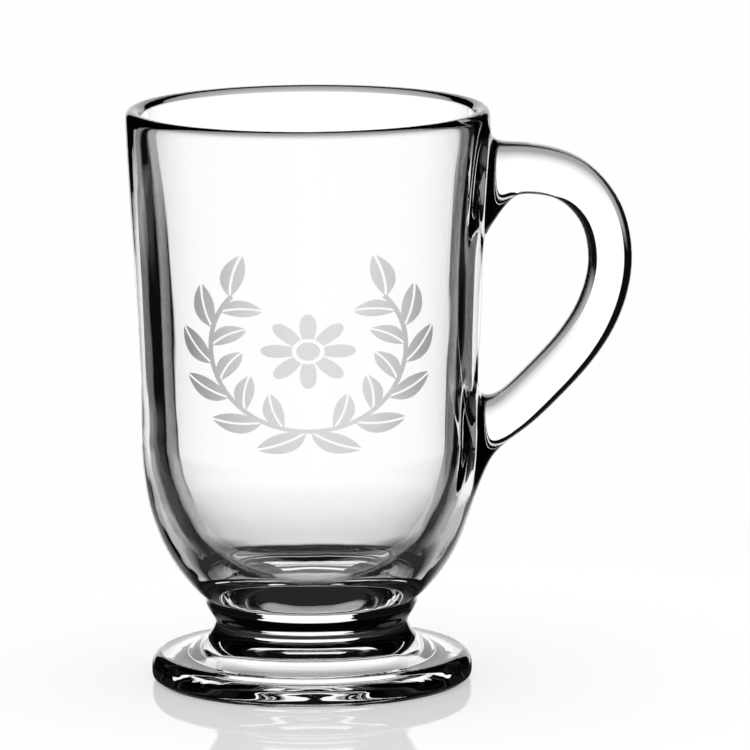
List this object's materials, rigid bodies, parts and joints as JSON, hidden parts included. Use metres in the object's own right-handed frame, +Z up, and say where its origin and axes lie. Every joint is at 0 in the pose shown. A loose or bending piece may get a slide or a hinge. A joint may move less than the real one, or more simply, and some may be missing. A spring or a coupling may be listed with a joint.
{
  "type": "footed glass mug",
  "caption": "Clear pressed-glass mug with a thick round bowl on a short neck and round foot, and an ear-shaped handle, for hot drinks.",
  "frame": {"origin": "on the standing plane, under the middle of the whole length from the rim's far side to the handle's apex, in the mug's plane of symmetry", "axes": "+Z up along the bowl, +X towards the handle, Y across the handle"},
  "size_m": [0.1138, 0.082, 0.13],
  "materials": {
    "clear_glass": "fire-polished pressed soda-lime glass"
  },
  "bodies": {
    "root": {"bowl": "clear_glass", "neck": "clear_glass", "foot": "clear_glass", "handle": "clear_glass"}
  },
  "joints": []
}
